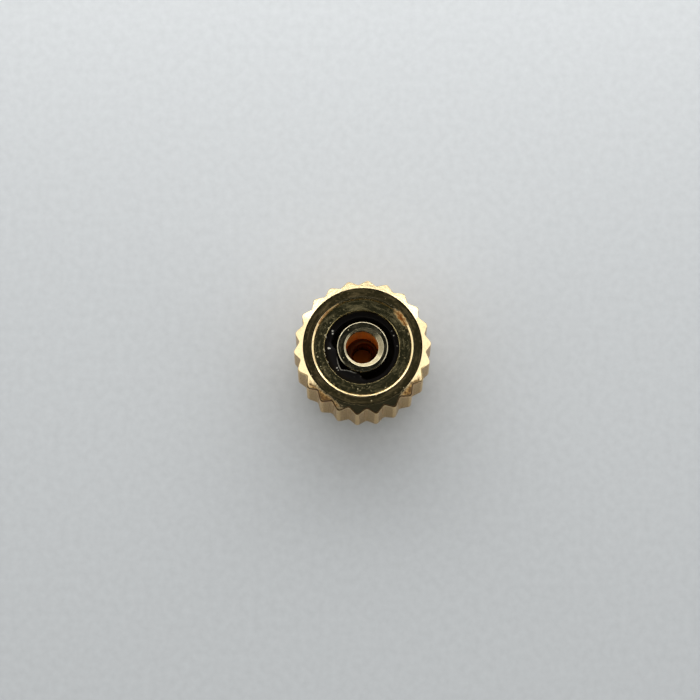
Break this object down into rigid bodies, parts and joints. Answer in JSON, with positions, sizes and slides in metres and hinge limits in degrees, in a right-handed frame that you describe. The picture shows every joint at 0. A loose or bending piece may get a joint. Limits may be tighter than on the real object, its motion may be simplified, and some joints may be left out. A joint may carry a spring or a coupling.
{
  "type": "watch crown",
  "caption": "Round toothed winding crown for a watch: gold-plated, domed on the outside, with a sealing ring round a central post threaded for the stem.",
  "frame": {"origin": "top of the dome, on the crown's own axis; the crown lies on its dome, so this point rests on the table", "axes": "+Z along the crown's axis, from the dome towards the stem side; +X and +Y have no special direction, and one tooth lies 3.7 degrees from +X, as in the picture"},
  "size_m": [0.005, 0.005, 0.003],
  "materials": {
    "gold_plate": "polished gold plating on turned brass",
    "post_brass": "turned brass with thin gold plating, tarnished in the bore",
    "black_rubber": "moulded black nitrile rubber, satin",
    "washer_gold": "gold-plated brass, turned and worn"
  },
  "bodies": {
    "root": {"crown_head": "gold_plate", "stem_post": "post_brass", "gasket": "black_rubber", "gasket_washer": "washer_gold"}
  },
  "joints": []
}
